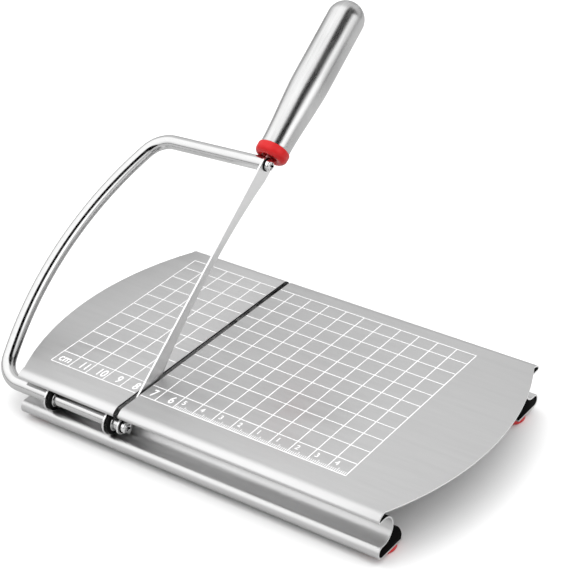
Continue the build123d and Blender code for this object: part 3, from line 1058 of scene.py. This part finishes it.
def printed_text(name, words, x, y, size, squeeze):
    """Plain printed numbers, as thin raised ink."""
    letters = bpy.data.curves.new(name, "FONT")
    letters.body = words
    letters.size = size
    letters.extrude = TEXT_DEPTH
    letters.offset = TEXT_WEIGHT_SHARE * size
    letters.align_x = "CENTER"
    letters.align_y = "CENTER"
    draft = bpy.data.objects.new(name, letters)
    bpy.context.scene.collection.objects.link(draft)
    mesh = bpy.data.meshes.new_from_object(draft.evaluated_get(bpy.context.evaluated_depsgraph_get()))
    bpy.data.objects.remove(draft)
    mesh.transform(BOARD @ Matrix.Translation((x, y, TEXT_RISE)) @ Matrix.Diagonal((squeeze, 1, 1, 1)))
    mesh.materials.clear()
    mesh.materials.append(ink)
    piece = bpy.data.objects.new(name, mesh)
    bpy.context.scene.collection.objects.link(piece)
    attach(piece, "root")


def printed_numbers():
    """Large numbers left of the ruler's marks, and small ones behind the marks."""
    large = ["cm", "11", "10", "9", "8", "7", "6"]
    large_y = GRID_FRONT + RULER_DEPTH / 2 - LARGE_DROP
    for i, words in enumerate(large):
        x = GRID_LEFT + CELL * i + (UNIT_SHIFT if words == "cm" else LARGE_SHIFT)
        printed_text("number_" + str(i), words, x, large_y, LARGE_SIZE, LARGE_WIDTH_SHARE)
    small = ["5", "4", "3", "2", "1", "1", "2", "3", "4"]
    small_y = GRID_FRONT + RULER_DEPTH - SMALL_DROP
    for i, words in enumerate(small, MARKS_CELL):
        x = GRID_LEFT + CELL * i + SMALL_SHIFT
        printed_text("number_" + str(i), words, x, small_y, SMALL_SIZE, SMALL_WIDTH_SHARE)


# Scene

def camera():
    """The photograph's view: front right, above, with a slight roll."""
    aim = Vector((GRID_LEFT + AIM_FROM_GRID[0], GRID_FRONT + AIM_FROM_GRID[1], 0.0))
    level = math.cos(ELEVATION)
    back = Vector((math.sin(AZIMUTH) * level, -math.cos(AZIMUTH) * level, math.sin(ELEVATION)))
    place = board_top + (aim + back * DISTANCE) * MM
    right = Vector((0, 0, 1)).cross(back).normalized()
    up = back.cross(right)
    turned_right = right * math.cos(ROLL) + up * math.sin(ROLL)
    turned_up = up * math.cos(ROLL) - right * math.sin(ROLL)
    data = bpy.data.cameras.new("camera")
    data.sensor_width = SENSOR
    data.lens = FOCAL_PIXELS / PICTURE_PIXELS * SENSOR
    data.clip_start = 0.01
    data.clip_end = 20.0
    eye = bpy.data.objects.new("camera", data)
    axes = Matrix((turned_right, turned_up, back)).transposed().to_4x4()
    eye.matrix_world = Matrix.Translation(place) @ axes
    bpy.context.scene.collection.objects.link(eye)
    bpy.context.scene.camera = eye


def lamp():
    """A square lamp above, aimed at the origin and left out of reflections."""
    data = bpy.data.lights.new("overhead", "AREA")
    data.shape = "RECTANGLE"
    data.size = LAMP_SIZE
    data.size_y = LAMP_SIZE
    data.energy = LAMP_POWER
    light = bpy.data.objects.new("overhead", data)
    light.location = LAMP_PLACE
    light.visible_glossy = False
    light.rotation_mode = "QUATERNION"
    light.rotation_quaternion = (-Vector(LAMP_PLACE)).to_track_quat("-Z", "Y")
    bpy.context.scene.collection.objects.link(light)


def sky_levels(tree, value, stops):
    """A grey ramp over a direction's share along one axis, from -1 to 1."""
    share = tree.nodes.new("ShaderNodeMapRange")
    share.inputs["From Min"].default_value = -1
    share.inputs["From Max"].default_value = 1
    shade = tree.nodes.new("ShaderNodeValToRGB")
    for _ in stops[1:-1]:
        shade.color_ramp.elements.new(0.5)
    for element, (place, level) in zip(shade.color_ramp.elements, stops):
        element.position = (place + 1) / 2
        element.color = (level, level, level, 1)
    tree.links.new(value, share.inputs["Value"])
    tree.links.new(share.outputs["Result"], shade.inputs["Fac"])
    return shade.outputs["Color"]


def background(tree, colour):
    """A background that shines in a colour from a socket."""
    node = tree.nodes.new("ShaderNodeBackground")
    tree.links.new(colour, node.inputs["Color"])
    return node.outputs[0]


def world():
    """A studio: bright in front, a grey wall behind, a dark gap on the right, and soft light from above."""
    sky = bpy.data.worlds.new("studio")
    sky.use_nodes = True
    tree = sky.node_tree
    tree.nodes.clear()
    place = tree.nodes.new("ShaderNodeTexCoord")
    split = tree.nodes.new("ShaderNodeSeparateXYZ")
    tree.links.new(place.outputs["Generated"], split.inputs[0])
    front = sky_levels(tree, split.outputs["Z"], SKY_FRONT)
    wall = sky_levels(tree, split.outputs["Z"], SKY_WALL)
    behind = sky_levels(tree, split.outputs["Y"], SKY_BEHIND)
    gap = sky_levels(tree, split.outputs["X"], SKY_GAP)
    gap_side = sky_levels(tree, split.outputs["Y"], SKY_GAP_SIDE)
    soft = sky_levels(tree, split.outputs["Z"], SKY_SOFT)
    sides = mix_colours(tree, behind, front, wall)
    shaped = mix_colours(tree, gap_side, sides, gap, "MULTIPLY")
    white = tree.nodes.new("ShaderNodeBackground")
    white.inputs["Color"].default_value = (1, 1, 1, 1)
    path = tree.nodes.new("ShaderNodeLightPath")
    lit = mix_shaders(tree, path.outputs["Is Diffuse Ray"], background(tree, shaped), background(tree, soft))
    seen = mix_shaders(tree, path.outputs["Is Camera Ray"], lit, white.outputs[0])
    out = tree.nodes.new("ShaderNodeOutputWorld")
    tree.links.new(seen, out.inputs["Surface"])
    sky.cycles.sampling_method = "NONE"
    bpy.context.scene.world = sky


def floor():
    """A large pale floor at the feet, which metal reflects darker."""
    corners = [(x * FLOOR_HALF, y * FLOOR_HALF, 0) for x, y in ((-1, -1), (1, -1), (1, 1), (-1, 1))]
    mesh = bpy.data.meshes.new("floor")
    mesh.from_pydata(corners, [], [(0, 1, 2, 3)])
    material, tree, shader = new_material("floor")
    tint(tree, shader, noise(tree, FLOOR_SCALE, detail=2.0), dark=(0.90,) * 3, light=(0.92,) * 3)
    shader.inputs["Roughness"].default_value = 0.7
    shader.inputs["Specular IOR Level"].default_value = 0.1
    dim = tree.nodes.new("ShaderNodeBsdfDiffuse")
    dim.inputs["Color"].default_value = (FLOOR_REFLECTED, FLOOR_REFLECTED, FLOOR_REFLECTED, 1)
    path = tree.nodes.new("ShaderNodeLightPath")
    seen = mix_shaders(tree, path.outputs["Is Glossy Ray"], shader.outputs[0], dim.outputs[0])
    tree.links.new(seen, tree.nodes["Material Output"].inputs["Surface"])
    mesh.materials.append(material)
    ground = bpy.data.objects.new("floor", mesh)
    bpy.context.scene.collection.objects.link(ground)


board_sheet()
end_pieces("roll_plug", roll_plug_outline())
end_pieces("rail_end_cap", end_cap_outline())
feet()
hinge_pieces()
bow_rod()
journal()
blade()
for place_name, place_reach in (("pivot", 0.0), ("top", BLADE_REACH)):
    washer(place_name + "_washer", place_reach)
    screw_head(place_name + "_screw", place_reach)
grip_shell()
collar_ring()
handle_core()
printed_grid()
printed_numbers()
floor()
world()
lamp()
camera()
bpy.context.scene.view_settings.view_transform = "Standard"
